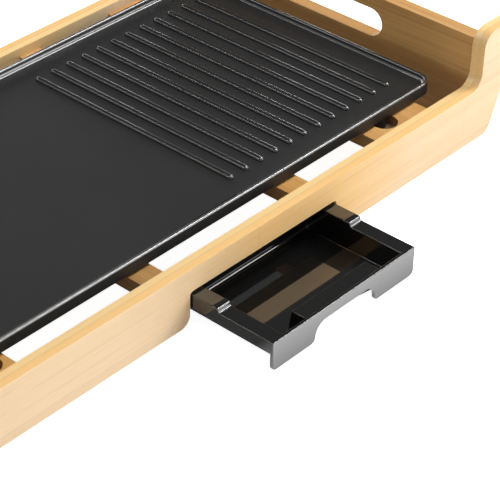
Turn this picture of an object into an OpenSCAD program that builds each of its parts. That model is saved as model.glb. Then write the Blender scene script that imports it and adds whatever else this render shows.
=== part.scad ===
// Countertop electric grill: a half smooth, half ribbed cast plate in a wooden frame,
// with a drip tray that slides out at the front and a plug-in heat control at the back.
// X runs along the front board, Y to the back, Z up. Z = 0 is the table top.

/* [Frame] */
// Gap between the cooking plate and each long board
plate_front_gap = 18.5; // [17:0.5:24]
// Gap between the cooking plate and the inner edge of each raised end
plate_end_gap = 19; // [17:0.5:30]
// Thickness of the long boards
board_t = 12; // [10:0.5:14]
// Height of the long boards between the raised ends
board_h = 46; // [43:0.5:52]
// Height of the raised ends
ear_h = 92; // [85:1:110]
// How far the base of the board runs past the ear's inner edge
ear_base = 14.4; // [12:0.2:20]
// Outward lean of the ends, in degrees
ear_lean = 22; // [10:1:24]
// Radius of the fillet where the board rises into the ear
ear_fillet = 12.5; // [8:0.5:18]
// Radius of the top corners of the ears
ear_top_r = 13; // [8:0.5:14]
// Radius of the bottom corners of the boards
ear_bottom_r = 11; // [6:0.5:12]
// Thickness of the end panels
panel_t = 12; // [10:0.5:13]
// Step from the ear's inner edge back to the end panel
panel_step = 2.5; // [1:0.5:5]
// Drop of the end panel's top below the top of the ears
panel_drop = 8; // [4:1:14]
// Height of the end panel's lower edge above the board's bottom edge
panel_lift = 4; // [3:0.5:8]
// Length of the hand hole in each end panel
grip_w = 110; // [95:1:130]
// Height of the hand hole
grip_h = 24; // [22:1:26]
// Thickness of the cross slats
slat_t = 11; // [10:0.5:12]
// Drop of the slat tops below the top of the long boards
slat_drop = 7.7; // [7:0.1:8.5]
// Width of the two slats beside the drip tray
slat_inner_w = 21.2; // [18:0.2:24]
// Width of the left outer slat
slat_left_w = 36.5; // [35:0.5:38]
// Width of the right outer slat
slat_right_w = 63.3; // [50:0.5:66]
// Depth of the relief in the slat tops under the plate
slat_relief = 6.6; // [5:0.1:7]
// Diameter of the dowels that join the frame
dowel_d = 6; // [5:0.5:6.5]
// Depth of each dowel in a long board
dowel_in_board = 8; // [6:0.5:9]
// Depth of each dowel in a slat or an end panel
dowel_in_slat = 7.5; // [6:0.5:8]
// Height of the rubber feet
foot_h = 2.5; // [2:0.1:4]
// Diameter of the rubber feet
foot_d = 10; // [8:0.5:11]
// Diameter of the stem that holds each rubber foot
foot_stem_d = 4; // [3:0.5:5]
// Length of the stem of each rubber foot
foot_stem_h = 6; // [4:0.5:10]

/* [Cooking plate] */
// Width of the cooking plate
plate_w = 470; // [460:1:480]
// Depth of the cooking plate
plate_d = 250; // [240:1:256]
// Radius of the plate's corners
plate_r = 13; // [10:0.5:18]
// Height of the plate from its underside to the rim top
plate_h = 9.8; // [9:0.1:12]
// Thickness of the plate's floor
plate_floor = 4; // [3.5:0.1:5]
// Thickness of the upright rim
rim_t = 3.2; // [2.5:0.1:4]
// Radius where the floor curves up into the rim
rim_fillet = 4; // [2:0.5:5]
// Gap between the slat tops and the plate's underside
plate_gap = 2.5; // [2:0.1:3.5]
// Number of ribs on the ribbed half
rib_count = 12; // [6:1:13]
// Spacing of the ribs
rib_pitch = 16.2; // [12:0.1:16.5]
// Width of a rib at the floor
rib_w = 5.2; // [3:0.1:7]
// Length of the ribs
rib_len = 203; // [160:1:220]
// Distance from the plate's right edge to the last rib's centre line
rib_margin = 26.5; // [20:0.5:40]
// Length of the drain slot
drain_w = 46; // [30:1:60]
// Width of the drain slot
drain_d = 5; // [4:0.1:6]
// Place of the drain slot's middle along the plate
drain_x = -4.5; // [-20:0.5:30]
// Height of the spout under the drain slot
spout_h = 2; // [1:0.1:2.2]
// Wall of the spout
spout_wall = 1.6; // [1:0.1:2.5]
// Diameter of the plate's feet
plate_foot_d = 16; // [13:0.5:17]
// Distance of the feet's centres from the plate's front and back edges
plate_foot_in = 8.4; // [8:0.1:12]
// Distance of the right feet's centres from the plate's right end
plate_foot_right_in = 60.6; // [56:0.2:64]
// Distance of the left feet's centres from the plate's left end
plate_foot_left_in = 10; // [9:0.2:11]
// Clearance round a plate foot in its slat recess
foot_recess_gap = 2.3; // [1.5:0.1:4]
// Distance that a foot's recess runs on towards the nearer board
foot_recess_reach = 8; // [0:0.5:8]

/* [Heating] */
// Diameter of the tubular heating element
element_d = 6.5; // [5.5:0.1:6.5]
// Distance from the reflector's front and back to the element's outer runs
element_edge = 17; // [16:0.5:19]
// Bend radius of the element's centre line
element_bend = 12; // [10:0.5:12]
// Distance of the right-hand bends from the plate's right end
element_right_in = 40; // [34:1:46]
// Distance of the left-hand leg from the heat control's middle
element_left_off = 42; // [40:1:44]
// Distance of the inner bends from the heat control's middle
element_inner_off = 34; // [32:1:40]
// Distance between the element's two ends
element_ends = 24; // [20:0.5:26]
// Thickness of the reflector sheet
reflector_t = 0.8; // [0.6:0.1:1]
// Distance of the reflector's ends from the plate's ends
reflector_end = 12; // [11:0.5:14]
// Distance of the reflector's front and back from the plate's
reflector_side = 33; // [32:0.5:34]
// Diameter of the plate's screw bosses
boss_d = 9; // [8:0.5:11]
// Diameter of the small metal screws
screw_d = 3; // [2.5:0.1:3.5]

/* [Drip tray] */
// Width of the drip tray
tray_w = 150.4; // [140:0.2:151]
// Length of the drip tray
tray_len = 100; // [96:1:104]
// Depth of the flange behind the basin
tray_rear = 10; // [8:0.5:12]
// How far the tray is drawn out in the modelled pose
tray_out = 72.9; // [60:0.1:90]
// Place of the tray's middle along the frame
tray_x = 5; // [4:0.5:6]
// Height of the tray's front
tray_front_h = 23.5; // [22:0.1:23.8]
// Clearance under the tray's front
tray_lift = 1; // [0.7:0.1:1.5]
// Depth of the tray's basin below the front flanges
tray_depth = 20; // [16:0.1:20.5]
// Wall thickness of the tray
tray_wall = 1.6; // [1.2:0.1:2]
// Thickness of the tray's front wall
tray_front_t = 3; // [2:0.1:4]
// Width of the side flanges
flange_w = 12.5; // [10:0.5:14]
// Rise of the rear part of the flanges
flange_rise = 2.9; // [2:0.1:3]
// Distance from the tray's front to the step in the flanges
flange_step = 47.5; // [40:0.5:60]
// Height of the skirt at the outer edge of the flanges
skirt_h = 8.4; // [6:0.1:9]
// Width of the finger pocket's block inside the tray
pocket_w = 78; // [70:1:90]
// Depth of the finger pocket's block at its top
pocket_d = 15.7; // [13:0.1:24]
// Drop of the block's top below the flanges
pocket_drop = 1; // [0.5:0.1:5]
// Width of the finger notch
finger_w = 63; // [56:0.5:66]
// Height of the finger notch
finger_h = 14.3; // [11:0.1:15]
// Radius of the notch's upper corners
finger_top_r = 10.3; // [8:0.1:10.5]
// Radius of the flare at the notch's lower corners
finger_flare = 4; // [2:0.5:6]

/* [Tray bay] */
// Gap at each side of the tray in the front board's slot
slot_gap = 1.3; // [0.8:0.1:2.5]
// Height of the slot above the board's bottom edge
slot_h = 27; // [26:0.1:28]
// Radius of the slot's upper corners
slot_top_r = 3; // [2:0.5:5]
// Radius of the flare at the slot's lower corners
slot_flare = 9; // [6:0.5:12]
// Thickness of the tray's runners
runner_t = 1.5; // [1:0.1:1.7]
// Gap between the tray's side and its runner
runner_gap = 0.8; // [0.3:0.1:1]
// Width of the ledge under the tray's skirt
runner_ledge = 6; // [4:0.5:8]

/* [Heat control] */
// Width of the heat control's housing
ctrl_w = 58; // [54:0.5:60]
// Height of the housing
ctrl_h = 26; // [24:0.5:30]
// Length of the housing
ctrl_len = 79.4; // [76:0.2:88]
// Wall of the housing
ctrl_wall = 2; // [1.6:0.1:2.5]
// Width of the housing's nose
nose_w = 44; // [42:0.5:44.5]
// Height of the housing's nose
nose_h = 7.8; // [7.4:0.1:8]
// Length of the housing's nose
nose_len = 25; // [22:0.5:26]
// Width of the notch in the back board
notch_w = 76; // [74:0.5:80]
// Height of the notch's bottom above the board's bottom edge
notch_floor = 17; // [14:0.5:18]
// Diameter of the contact pins
pin_d = 4; // [3.5:0.1:4.5]
// Distance between the contact pins
pin_pitch = 24; // [22:0.5:26]
// Running clearance between the pins and their sleeves, all round
pin_gap = 0.05; // [0.02:0.01:0.08]
// Diameter of the temperature probe
probe_d = 5; // [4:0.1:5.5]
// Length of the probe in front of the housing's nose
probe_len = 46; // [36:0.5:50]
// Diameter of the dial
dial_d = 36; // [30:0.5:42]
// Height of the dial above the housing
dial_h = 9; // [7:0.5:12]
// Diameter of the dial's shaft
shaft_d = 6; // [5:0.1:7]
// Running clearance between the shaft and its bore, all round
shaft_gap = 0.05; // [0.02:0.01:0.08]
// Length of the cord's gland outside the housing
gland_len = 10; // [8:0.1:16]
// Outer diameter of the gland
gland_d = 13; // [12:0.5:15]
// Diameter of the cord's bore in the gland
cord_d = 7; // [6:0.1:8]

/* [Hidden] */
$fn = 96;
bamboo = [0.91, 0.75, 0.48];
cut = 0.5;
fit = 0.05;
seat = 0.3;

// Heights above the table
board_z = foot_h;
board_top = board_z + board_h;
slat_top = board_top - slat_drop;
slat_bottom = slat_top - slat_t;
relief_z = slat_top - slat_relief;
plate_z = slat_top + plate_gap;
floor_z = plate_z + plate_floor;
rim_z = plate_z + plate_h;
panel_z = board_z + panel_lift;
panel_top = board_z + ear_h - panel_drop;
grip_edge = 12;
grip_mid_z = panel_top - grip_edge - grip_h / 2;
flange_z = tray_lift + tray_front_h;
basin_z = flange_z - tray_depth;
skirt_z = flange_z - skirt_h;
ledge_z = skirt_z - seat;

// Places along Y
frame_d = plate_d + 2 * (plate_front_gap + board_t);
front_y = -frame_d / 2;
inner_y = frame_d / 2 - board_t;
tray_y = front_y - tray_out;
plate_foot_y = plate_d / 2 - plate_foot_in;
rubber_side = 1;
rubber_y = frame_d / 2 - board_t / 2 - rubber_side;

// Places along X
ear_x = plate_w / 2 + plate_end_gap;
panel_x = ear_x + panel_step;
panel_dowel_x = panel_x + panel_t / 2;
rubber_in = 28;
rubber_x = ear_x - rubber_in;
plate_foot_left_x = -plate_w / 2 + plate_foot_left_in;
plate_foot_right_x = plate_w / 2 - plate_foot_right_in;
slat_left_shift = 3.3;
slat_right_shift = 6.1;
slat_left_off = 18;
slat_right_off = 18.3;
left_outer_x = plate_foot_left_x - slat_left_shift;
left_inner_x = tray_x - tray_w / 2 - slat_left_off;
right_inner_x = tray_x + tray_w / 2 - slat_right_off;
right_outer_x = plate_foot_right_x + slat_right_shift;
slot_w = tray_w + 2 * slot_gap;

// The heat control sits midway between the two left slats
ctrl_x = (left_outer_x + slat_left_w / 2 + left_inner_x - slat_inner_w / 2) / 2;

// Runners
runner_hold = 7;
runner_lip = 4;
runner_stop_h = 9;
runner_end_y = front_y + tray_len + seat;
hanger_in = 50;
hanger_y = front_y + hanger_in;
runner_screw_l = 5;
runner_screw_in = 10;
runner_screw_ys = [hanger_y + runner_screw_in, runner_end_y - runner_screw_in];

// Dowels: two in the wide slats, one in the narrow ones, two in each end of a panel
dowel_spread_share = 0.3;
dowel_slat_z = slat_bottom + slat_t / 2;
dowel_low = 18;
dowel_high = 66;
slat_dowels = [
    left_outer_x - dowel_spread_share * slat_left_w,
    left_outer_x + dowel_spread_share * slat_left_w,
    left_inner_x,
    right_inner_x,
    right_outer_x - dowel_spread_share * slat_right_w,
    right_outer_x + dowel_spread_share * slat_right_w
];
dowel_places = concat(
    [for (x = slat_dowels) [x, dowel_slat_z]],
    [for (x = [-panel_dowel_x, panel_dowel_x], z = [dowel_low, dowel_high]) [x, board_z + z]]
);

// Outline of the leaning ends
lean_x = ear_x + ear_base;
lean_normal = [cos(ear_lean), -sin(ear_lean)];
low_arc = [lean_x - ear_bottom_r * (1 - sin(ear_lean)) / cos(ear_lean), ear_bottom_r];
top_arc_z = ear_h - ear_top_r;
top_arc = [lean_x + (sin(ear_lean) * top_arc_z - ear_top_r) / cos(ear_lean), top_arc_z];
inner_arc = [ear_x + ear_top_r, top_arc_z];
fillet_arc = [ear_x - ear_fillet, board_h + ear_fillet];

// Plate
rim_top_r = 1.5;
rib_last_x = plate_w / 2 - rib_margin;
drain_in = 0.8;
drain_y = -plate_d / 2 + rim_t + drain_in + drain_d / 2;
element_gaps = 3;
reflector_w = plate_w - 2 * reflector_end;
reflector_d = plate_d - 2 * reflector_side;
element_pitch = (reflector_d - 2 * element_edge) / element_gaps;
boss_left_off = 11;
boss_left_x = ctrl_x - boss_left_off;
boss_right_in = 105;
boss_right_x = plate_w / 2 - boss_right_in;
boss_places = [[boss_left_x, 0], [boss_right_x, 0], [0, -element_pitch], [0, element_pitch]];
plate_foot_places = [for (x = [plate_foot_left_x, plate_foot_right_x],
    y = [-plate_foot_y, plate_foot_y]) [x, y]];
foot_recess_r = plate_foot_d / 2 + foot_recess_gap;

// Heating
element_z = plate_z - element_d / 2;
row_shares = [-1.5, -0.5, 0.5, 1.5];
element_rows = row_shares * element_pitch;
element_end_xs = [ctrl_x - element_ends / 2, ctrl_x + element_ends / 2];
element_left_x = ctrl_x - element_left_off;
element_inner_x = ctrl_x + element_inner_off;
element_right_x = plate_w / 2 - element_right_in;
clamp_left_x = -60;
clamp_right_x = 120;
clamp_xs = [clamp_left_x, clamp_right_x];
clamp_w = 8;
clamp_l = 24;
clamp_ear = 2.5;
clamp_wall = 1;
clamp_screw_in = 4;
reflector_gap = 0.6;
reflector_z = relief_z + reflector_gap;
relief_side = 2.8;
relief_d = reflector_d + 2 * relief_side;
window_w = 56;
screw_r = screw_d / 2;
head_share = 0.95;
head_r = screw_d * head_share;
head_h_share = 0.6;
head_h = screw_d * head_h_share;
thread_in = 3;
foot_sink = 3.5;

// Terminals
pin_drop = 4.5;
pin_z = plate_z - pin_drop;
block_w = 44;
block_d = 14;
block_gap = 3.2;
block_y = reflector_d / 2 + block_gap;
block_bottom = pin_z - pin_drop;
element_in = 5;
element_end_y = block_y + element_in;
terminal_screw_in = 4;
shroud_t = 1;
shroud_w = 48;
socket_l = 21;
shroud_y = block_y + block_d + socket_l;
shroud_z = block_bottom - shroud_t;
pin_inset = 3;
pin_end_y = shroud_y - pin_inset;
pin_xs = [ctrl_x - pin_pitch / 2, ctrl_x + pin_pitch / 2];

// Heat control
nose_gap = 4.8;
nose_y = block_y + block_d + nose_gap;
ctrl_y = nose_y + nose_len;
ctrl_z = pin_z - ctrl_h / 2;
ctrl_top = pin_z + ctrl_h / 2;
ctrl_end = ctrl_y + ctrl_len;
sleeve_r = 3;
switch_w = 30;
switch_in = 11;
switch_y = ctrl_y + switch_in;
switch_l = 30;
switch_h = 14;
switch_z = pin_z - switch_h / 2;
post_r = 3.5;
post_side = 1;
post_x = ctrl_w / 2 - ctrl_wall - post_r - post_side;
post_in = 12;
post_ys = [ctrl_y + post_in, ctrl_end - post_in];
dial_y = switch_y + switch_l / 2;
lens_in = 14;
lens_y = ctrl_end - lens_in;
lens_r = 2.5;
lens_rise = 1;
collar_t = 2;
collar_step = 1.5;
collar_r = gland_d / 2 + collar_step;
probe_in = 6;
control_screw_l = 12;
dial_skirt = 2.5;
dial_step = 2;
dial_bar_h = 4;
dial_bar = 9;

// Drip tray
arc_steps = 8;
front_r = 4;
pocket_draft = 4;
foot_fillet = 4;

// Two dimensional outlines

module rounded_rect(w, d, r) {
    square([w - 2 * r, d], center = true);
    square([w, d - 2 * r], center = true);
    for (x = [-1, 1], y = [-1, 1]) {
        translate([x * (w / 2 - r), y * (d / 2 - r)]) circle(r);
    }
}

// A gateway open at the bottom, with round upper corners and flared lower ones
module arch(w, h, top_r, flare) {
    translate([-w / 2, -cut]) square([w, h - top_r + cut]);
    translate([-w / 2 + top_r, -cut]) square([w - 2 * top_r, h + cut]);
    for (s = [-1, 1]) {
        translate([s * (w / 2 - top_r), h - top_r]) circle(top_r);
        mirror([s < 0 ? 1 : 0, 0]) difference() {
            translate([w / 2 - cut, -cut]) square([flare + cut, flare + cut]);
            translate([w / 2 + flare, flare]) circle(flare);
        }
    }
}

module half_outline() {
    difference() {
        polygon([
            [0, 0],
            [low_arc[0], 0],
            low_arc + ear_bottom_r * lean_normal,
            top_arc + ear_top_r * lean_normal,
            [top_arc[0], ear_h],
            [inner_arc[0], ear_h],
            [ear_x, top_arc_z],
            [ear_x, fillet_arc[1]],
            [fillet_arc[0], board_h],
            [0, board_h]
        ]);
        translate(fillet_arc) circle(ear_fillet);
    }
    translate(low_arc) circle(ear_bottom_r);
    translate(top_arc) circle(ear_top_r);
    translate(inner_arc) circle(ear_top_r);
}

module board_outline() {
    half_outline();
    mirror([1, 0]) half_outline();
}

// Extrudes an X-Z outline along Y, from y to y + t
module along_y(y, t) {
    translate([0, y + t, 0]) rotate([90, 0, 0]) linear_extrude(t) children();
}

// Extrudes a Y-Z outline along X, from x to x + t
module along_x(x, t) {
    translate([x, 0, 0]) rotate([90, 0, 90]) linear_extrude(t) children();
}

module rod_y(x, y, z, length, r) {
    translate([x, y, z]) rotate([-90, 0, 0]) cylinder(r = r, h = length);
}

module rod_x(x, y, z, length, r) {
    translate([x, y, z]) rotate([0, 90, 0]) cylinder(r = r, h = length);
}

// Wooden frame

module dowels(gap) {
    for (s = [-1, 1], place = dowel_places) {
        start = s > 0 ? inner_y - dowel_in_slat : -inner_y - dowel_in_board;
        rod_y(place[0], start, place[1], dowel_in_slat + dowel_in_board, dowel_d / 2 + gap);
    }
}

module foot_stems(gap) {
    for (x = [-rubber_x, rubber_x], y = [-rubber_y, rubber_y]) {
        translate([x, y, board_z - cut]) cylinder(d = foot_stem_d + 2 * gap, h = foot_stem_h + cut);
    }
}

module front_board() {
    color(bamboo) difference() {
        along_y(front_y, board_t) translate([0, board_z]) difference() {
            board_outline();
            translate([tray_x, 0]) arch(slot_w, slot_h, slot_top_r, slot_flare);
        }
        dowels(fit);
        foot_stems(fit);
    }
}

module back_board() {
    color(bamboo) difference() {
        along_y(inner_y, board_t) translate([0, board_z]) difference() {
            board_outline();
            translate([ctrl_x - notch_w / 2, notch_floor]) square([notch_w, board_h]);
        }
        dowels(fit);
        foot_stems(fit);
    }
}

module end_panel(x) {
    color(bamboo) difference() {
        translate([x, -inner_y, panel_z]) cube([panel_t, 2 * inner_y, panel_top - panel_z]);
        grip_hole(x);
        dowels(fit);
    }
}

module grip_hole(x) {
    straight = grip_w - grip_h;
    for (s = [-1, 1]) {
        rod_x(x - cut, s * straight / 2, grip_mid_z, panel_t + 2 * cut, grip_h / 2);
    }
    translate([x - cut, -straight / 2, grip_mid_z - grip_h / 2]) cube([panel_t + 2 * cut, straight, grip_h]);
}

module left_end_panel() end_panel(-panel_x - panel_t);

module right_end_panel() end_panel(panel_x);

// Recess for a plate foot, with round ends; side tells which board it runs towards
module foot_recess(side) {
    for (y = [0, side * foot_recess_reach]) {
        translate([0, y, 0]) cylinder(r = foot_recess_r, h = slat_t);
    }
    translate([-foot_recess_r, side > 0 ? 0 : -foot_recess_reach, 0]) {
        cube([2 * foot_recess_r, foot_recess_reach, slat_t]);
    }
}

module slat(x, w) {
    color(bamboo) difference() {
        translate([x - w / 2, -inner_y, slat_bottom]) cube([w, 2 * inner_y, slat_t]);
        translate([x - w, -relief_d / 2, relief_z]) cube([2 * w, relief_d, slat_t]);
        for (place = plate_foot_places) {
            translate([place[0], place[1], relief_z]) foot_recess(place[1] > 0 ? 1 : -1);
        }
        dowels(fit);
        runner_screw_set(fit);
    }
}

module left_outer_slat() slat(left_outer_x, slat_left_w);

module left_inner_slat() slat(left_inner_x, slat_inner_w);

module right_inner_slat() slat(right_inner_x, slat_inner_w);

module right_outer_slat() slat(right_outer_x, slat_right_w);

module frame_dowels() color(bamboo) dowels(0);

module rubber_feet() {
    color("black") {
        foot_stems(0);
        for (x = [-rubber_x, rubber_x], y = [-rubber_y, rubber_y]) {
            translate([x, y, 0]) cylinder(d = foot_d, h = foot_h);
        }
    }
}

// Runners for the drip tray: a ledge under the skirt, a leg and a flange under the slat

module tray_runner(s) {
    leg_x = tray_x + s * (tray_w / 2 + runner_gap + runner_t / 2);
    ledge_w = runner_ledge + runner_gap + runner_t;
    ledge_x = leg_x - s * (ledge_w - runner_t) / 2;
    flange_x = s > 0 ? right_inner_x - runner_hold : left_inner_x - runner_hold;
    low = ledge_z - runner_t;
    color("silver") difference() {
        union() {
            runner_box(leg_x, runner_t, -inner_y, runner_end_y + runner_t, low, ledge_z + runner_lip);
            runner_box(ledge_x, ledge_w, -inner_y, runner_end_y + runner_t, low, ledge_z);
            runner_box(leg_x, runner_t, hanger_y, runner_end_y, low, slat_bottom);
            runner_box(ledge_x, ledge_w, runner_end_y, runner_end_y + runner_t, low, ledge_z + runner_stop_h);
            translate([flange_x, hanger_y, slat_bottom - runner_t]) {
                cube([leg_x + runner_t / 2 - flange_x, runner_end_y - hanger_y, runner_t]);
            }
        }
        runner_screw_set(fit);
    }
}

module left_tray_runner() tray_runner(-1);

module right_tray_runner() tray_runner(1);

// A box centred on x, between two places along Y and two heights
module runner_box(x, w, near, far, low, high) {
    translate([x - w / 2, near, low]) cube([w, far - near, high - low]);
}

// A pan-head screw that points up, with its head's underside at z
module screw_up(x, y, z, length, gap) {
    translate([x, y, z - head_h]) cylinder(r = head_r + gap, h = head_h);
    translate([x, y, z - head_h / 2]) cylinder(r = screw_r + gap, h = length + head_h / 2);
}

module runner_screw_set(gap) {
    for (x = [left_inner_x, right_inner_x], y = runner_screw_ys) {
        screw_up(x, y, slat_bottom - runner_t, runner_screw_l, gap);
    }
}

module runner_screws() color("silver") runner_screw_set(0);

// Cooking plate

// Section of the plate's edge, from the corner's centre line out to the rim
module rim_profile() {
    inner = plate_r - rim_t;
    square([plate_r, plate_floor]);
    translate([inner, 0]) square([rim_t, plate_h - rim_top_r]);
    translate([inner + rim_top_r, 0]) square([rim_t - 2 * rim_top_r, plate_h]);
    for (x = [inner + rim_top_r, plate_r - rim_top_r]) {
        translate([x, plate_h - rim_top_r]) circle(rim_top_r);
    }
    difference() {
        translate([inner - rim_fillet, 0]) square([rim_fillet + rim_t / 2, plate_floor + rim_fillet]);
        translate([inner - rim_fillet, plate_floor + rim_fillet]) circle(rim_fillet);
    }
}

module pan() {
    side_w = plate_w - 2 * plate_r;
    side_d = plate_d - 2 * plate_r;
    translate([-side_w / 2, -side_d / 2, plate_z]) cube([side_w, side_d, plate_floor]);
    for (s = [0, 1]) {
        mirror([s, 0, 0]) translate([side_w / 2, 0, plate_z]) along_y(-side_d / 2, side_d) rim_profile();
        mirror([0, s, 0]) translate([0, side_d / 2, plate_z]) along_x(-side_w / 2, side_w) rim_profile();
        for (t = [0, 1]) {
            mirror([s, 0, 0]) mirror([0, t, 0]) translate([side_w / 2, side_d / 2, plate_z]) {
                rotate_extrude(angle = 90) rim_profile();
            }
        }
    }
}

module rib(x) {
    straight = rib_len - rib_w;
    rod_y(x, -straight / 2, floor_z, straight, rib_w / 2);
    for (s = [-1, 1]) {
        translate([x, s * straight / 2, floor_z]) sphere(rib_w / 2);
    }
}

module drain_outline(margin) {
    straight = drain_w - drain_d;
    translate([drain_x, drain_y]) {
        square([straight, drain_d + 2 * margin], center = true);
        for (s = [-1, 1]) {
            translate([s * straight / 2, 0]) circle(drain_d / 2 + margin);
        }
    }
}

module cooking_plate() {
    color([0.2, 0.2, 0.2]) difference() {
        union() {
            pan();
            for (i = [0 : rib_count - 1]) {
                rib(rib_last_x - i * rib_pitch);
            }
            translate([0, 0, plate_z - spout_h]) linear_extrude(spout_h + cut) drain_outline(spout_wall);
            for (place = boss_places) {
                translate([place[0], place[1], reflector_z + reflector_t]) {
                    cylinder(d = boss_d, h = plate_z - reflector_z - reflector_t + cut);
                }
            }
        }
        translate([0, 0, plate_z - spout_h - cut]) linear_extrude(spout_h + plate_h) drain_outline(0);
        foot_screw_set(fit);
        clamp_screw_set(fit);
        reflector_screw_set(fit);
        terminal_screw_set(fit);
    }
}

module plate_feet() {
    color("black") difference() {
        for (place = plate_foot_places) {
            translate([place[0], place[1], relief_z]) cylinder(d = plate_foot_d, h = plate_z - relief_z);
        }
        foot_screw_set(fit);
        for (place = plate_foot_places) {
            translate([place[0], place[1], relief_z - cut]) {
                cylinder(r = head_r + fit, h = foot_sink + cut);
            }
        }
    }
}

module foot_screw_set(gap) {
    for (place = plate_foot_places) {
        screw_up(place[0], place[1], relief_z + foot_sink, plate_z - relief_z - foot_sink + thread_in, gap);
    }
}

module plate_foot_screws() color("silver") foot_screw_set(0);

// Tubular heating element with its clamps, and the reflector under it

module bend(x, y, turn) {
    translate([x, y, element_z]) rotate([0, 0, turn]) rotate_extrude(angle = 90) {
        translate([element_bend, 0]) circle(d = element_d);
    }
}

module run_x(x0, x1, y) rod_x(x0, y, element_z, x1 - x0, element_d / 2);

module run_y(x, y0, y1) rod_y(x, y0, element_z, y1 - y0, element_d / 2);

module heating_element() {
    r = element_bend;
    left = element_left_x;
    inner = element_inner_x;
    right = element_right_x;
    rows = element_rows;
    color([0.45, 0.43, 0.41]) {
        run_y(element_end_xs[0], rows[3] + r, element_end_y);
        bend(element_end_xs[0] - r, rows[3] + r, -90);
        run_x(left + r, element_end_xs[0] - r, rows[3]);
        bend(left + r, rows[3] - r, 90);
        run_y(left, rows[0] + r, rows[3] - r);
        bend(left + r, rows[0] + r, 180);
        run_x(left + r, right - r, rows[0]);
        bend(right - r, rows[0] + r, -90);
        run_y(right, rows[0] + r, rows[1] - r);
        bend(right - r, rows[1] - r, 0);
        run_x(inner + r, right - r, rows[1]);
        bend(inner + r, rows[1] + r, 180);
        run_y(inner, rows[1] + r, rows[2] - r);
        bend(inner + r, rows[2] - r, 90);
        run_x(inner + r, right - r, rows[2]);
        bend(right - r, rows[2] + r, -90);
        run_y(right, rows[2] + r, rows[3] - r);
        bend(right - r, rows[3] - r, 0);
        run_x(element_end_xs[1] + r, right - r, rows[3]);
        bend(element_end_xs[1] + r, rows[3] + r, 180);
        run_y(element_end_xs[1], rows[3] + r, element_end_y);
    }
}

module element_clamps() {
    color("silver") difference() {
        for (x = clamp_xs, y = element_rows) {
            translate([x - clamp_w / 2, y - clamp_l / 2, plate_z - clamp_ear]) cube([clamp_w, clamp_l, clamp_ear]);
            translate([x - clamp_w / 2, y - element_d / 2 - clamp_wall, element_z - element_d / 2 - clamp_wall / 2]) {
                cube([clamp_w, element_d + 2 * clamp_wall, element_d + clamp_wall / 2]);
            }
        }
        for (x = clamp_xs, y = element_rows) {
            rod_x(x - clamp_w, y, element_z, 2 * clamp_w, element_d / 2);
            translate([x - clamp_w, y - element_d / 2, element_z]) cube([2 * clamp_w, element_d, element_d]);
        }
        clamp_screw_set(fit);
    }
}

module clamp_screw_set(gap) {
    for (x = clamp_xs, y = element_rows, s = [-1, 1]) {
        screw_up(x, y + s * (clamp_l / 2 - clamp_screw_in), plate_z - clamp_ear, clamp_ear + thread_in, gap);
    }
}

module clamp_screws() color("silver") clamp_screw_set(0);

module heat_reflector() {
    wall_h = plate_z - reflector_z;
    color([0.72, 0.72, 0.7]) difference() {
        translate([0, 0, reflector_z]) linear_extrude(wall_h) rounded_rect(reflector_w, reflector_d, plate_r);
        translate([0, 0, reflector_z + reflector_t]) linear_extrude(wall_h) {
            rounded_rect(reflector_w - 2 * reflector_t, reflector_d - 2 * reflector_t, plate_r - reflector_t);
        }
        translate([ctrl_x - window_w / 2, reflector_d / 2 - plate_r, reflector_z + reflector_t]) {
            cube([window_w, 2 * plate_r, wall_h]);
        }
        reflector_screw_set(fit);
    }
}

module reflector_screw_set(gap) {
    for (place = boss_places) {
        screw_up(place[0], place[1], reflector_z, reflector_t + thread_in, gap);
    }
}

module reflector_screws() color("silver") reflector_screw_set(0);

// Terminals that the heat control plugs onto

module terminal_block() {
    color("ivory") difference() {
        translate([ctrl_x - block_w / 2, block_y, block_bottom]) cube([block_w, block_d, plate_z - block_bottom]);
        for (x = element_end_xs) {
            rod_y(x, block_y - cut, element_z, element_in + cut, element_d / 2 + fit);
        }
        for (x = pin_xs) {
            rod_y(x, element_end_y - fit, pin_z, block_d, pin_d / 2 + fit);
        }
        rod_y(ctrl_x, block_y - cut, pin_z, block_d + 2 * cut, probe_d / 2 + seat);
        terminal_screw_set(fit);
    }
}

module terminal_screw_set(gap) {
    for (s = [-1, 1]) {
        screw_up(ctrl_x + s * (block_w / 2 - terminal_screw_in), block_y + block_d / 2, shroud_z,
            plate_z - shroud_z + thread_in, gap);
    }
}

module terminal_screws() color("silver") terminal_screw_set(0);

module contact_pins() {
    color("silver") for (x = pin_xs) {
        rod_y(x, element_end_y, pin_z, pin_end_y - element_end_y, pin_d / 2);
    }
}

module socket_shroud() {
    color("silver") difference() {
        translate([ctrl_x - shroud_w / 2, block_y, shroud_z]) cube([shroud_w, shroud_y - block_y, plate_z - shroud_z]);
        translate([ctrl_x - shroud_w / 2 + shroud_t, block_y - cut, block_bottom]) {
            cube([shroud_w - 2 * shroud_t, shroud_y - block_y + 2 * cut, plate_z]);
        }
        terminal_screw_set(fit);
    }
}

// Drip tray, drawn in its own frame with its front face at Y = 0

function arc(c, r, from, to) = [for (i = [0 : arc_steps])
    let (a = from + (to - from) * i / arc_steps) c + r * [cos(a), sin(a)]];

step_r = flange_rise / 2;
step_line = concat(
    arc([flange_step, flange_z + step_r], step_r, -90, 0),
    arc([flange_step + 2 * step_r, flange_z + step_r], step_r, 180, 90)
);
top_line = concat([[0, flange_z]], step_line, [[tray_len, flange_z + flange_rise]]);

module tray_side(x, t, low) {
    along_x(x, t) polygon(concat([[0, low]], top_line, [[tray_len, low]]));
}

module tray_flange(x) {
    count = len(top_line);
    lower = [for (i = [count - 1 : -1 : 0]) top_line[i] - [0, tray_wall]];
    along_x(x, flange_w) polygon(concat(top_line, lower));
}

module pocket_outline(margin) {
    top = flange_z - pocket_drop - margin;
    bottom = basin_z - tray_wall;
    polygon([[0, bottom - 2 * margin], [pocket_d + pocket_draft - margin, bottom - 2 * margin],
        [pocket_d - margin, top], [0, top]]);
}

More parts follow.
